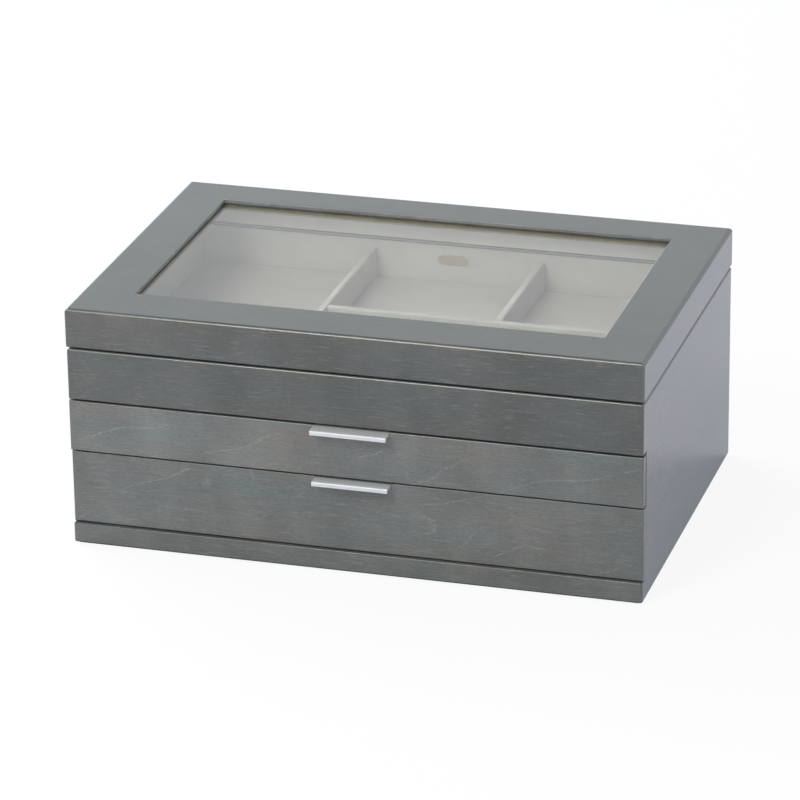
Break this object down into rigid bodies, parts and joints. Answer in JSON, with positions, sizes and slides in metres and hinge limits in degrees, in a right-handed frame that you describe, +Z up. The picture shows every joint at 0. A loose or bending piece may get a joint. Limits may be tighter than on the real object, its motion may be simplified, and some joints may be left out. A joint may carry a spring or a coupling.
{
  "type": "glass top jewelry box",
  "caption": "Grey veneered jewelry box with a hinged window lid over a lined tray, and two sliding drawers with metal edge pulls.",
  "frame": {"origin": "centre of the case's footprint, on the underside of the base felt", "axes": "+X to the right seen from the front, +Y to the back, +Z up"},
  "size_m": [0.305, 0.2124, 0.1313],
  "materials": {
    "veneer": "grey stained birch veneer, semi-gloss lacquer",
    "board": "grey painted fibreboard",
    "strip_wood": "olive-brown stained strip wood, matt",
    "lining": "cream suede-like lining",
    "felt": "dark grey felt",
    "glass": "clear float glass",
    "plate": "pale satin brass, bare",
    "hinge_metal": "satin nickel-plated",
    "pull_metal": "satin anodised",
    "screws": "nickel-plated"
  },
  "bodies": {
    "case": {"side_panel_left": "veneer", "side_panel_right": "veneer", "back_panel": "veneer", "upper_front_panel": "veneer", "base_front_rail": "veneer", "bottom_board": "board", "drawer_shelf": "board", "tray_floor_board": "board", "tray_floor_pad": "lining", "tray_liner_front": "lining", "tray_liner_back": "lining", "tray_liner_left": "lining", "tray_liner_right": "lining", "tray_divider_long": "lining", "tray_divider_cross": "lining", "tray_divider_back": "lining", "ring_rolls": "lining", "base_felt": "felt", "blank_oval_plate": "plate", "hinge_leaves_case": "hinge_metal", "hinge_pins": "hinge_metal", "hinge_screws_case": "screws"},
    "lid": {"lid_top_frame": "veneer", "lid_rail_front": "veneer", "lid_rail_back": "veneer", "lid_rail_left": "veneer", "lid_rail_right": "veneer", "lid_liner_front": "lining", "lid_liner_back": "lining", "lid_liner_left": "lining", "lid_liner_right": "lining", "lid_bumpers": "felt", "glass_panel": "glass", "glass_retainer_strips": "strip_wood", "hinge_leaves_lid": "hinge_metal", "hinge_screws_lid": "screws"},
    "upper_drawer": {"upper_drawer_front": "veneer", "upper_drawer_side_left": "board", "upper_drawer_side_right": "board", "upper_drawer_back": "board", "upper_drawer_bottom": "board", "upper_drawer_dividers": "lining", "upper_drawer_pad": "lining", "upper_drawer_liners": "lining", "upper_drawer_pull": "pull_metal", "upper_drawer_pull_screws": "screws"},
    "lower_drawer": {"lower_drawer_front": "veneer", "lower_drawer_side_left": "board", "lower_drawer_side_right": "board", "lower_drawer_back": "board", "lower_drawer_bottom": "board", "lower_drawer_pad": "lining", "lower_drawer_liners": "lining", "lower_drawer_pull": "pull_metal", "lower_drawer_pull_screws": "screws"}
  },
  "joints": [
    {"name": "lid_hinge", "type": "hinge", "parent": "case", "child": "lid", "pos_m": [0, 0.1031, 0.1098], "axis": [-1, 0, 0], "range_deg": [0, 95]},
    {"name": "upper_drawer_slide", "type": "slide", "parent": "case", "child": "upper_drawer", "axis": [0, -1, 0], "range_m": [-0.0015, 0.1335]},
    {"name": "lower_drawer_slide", "type": "slide", "parent": "case", "child": "lower_drawer", "axis": [0, -1, 0], "range_m": [0, 0.135]}
  ]
}
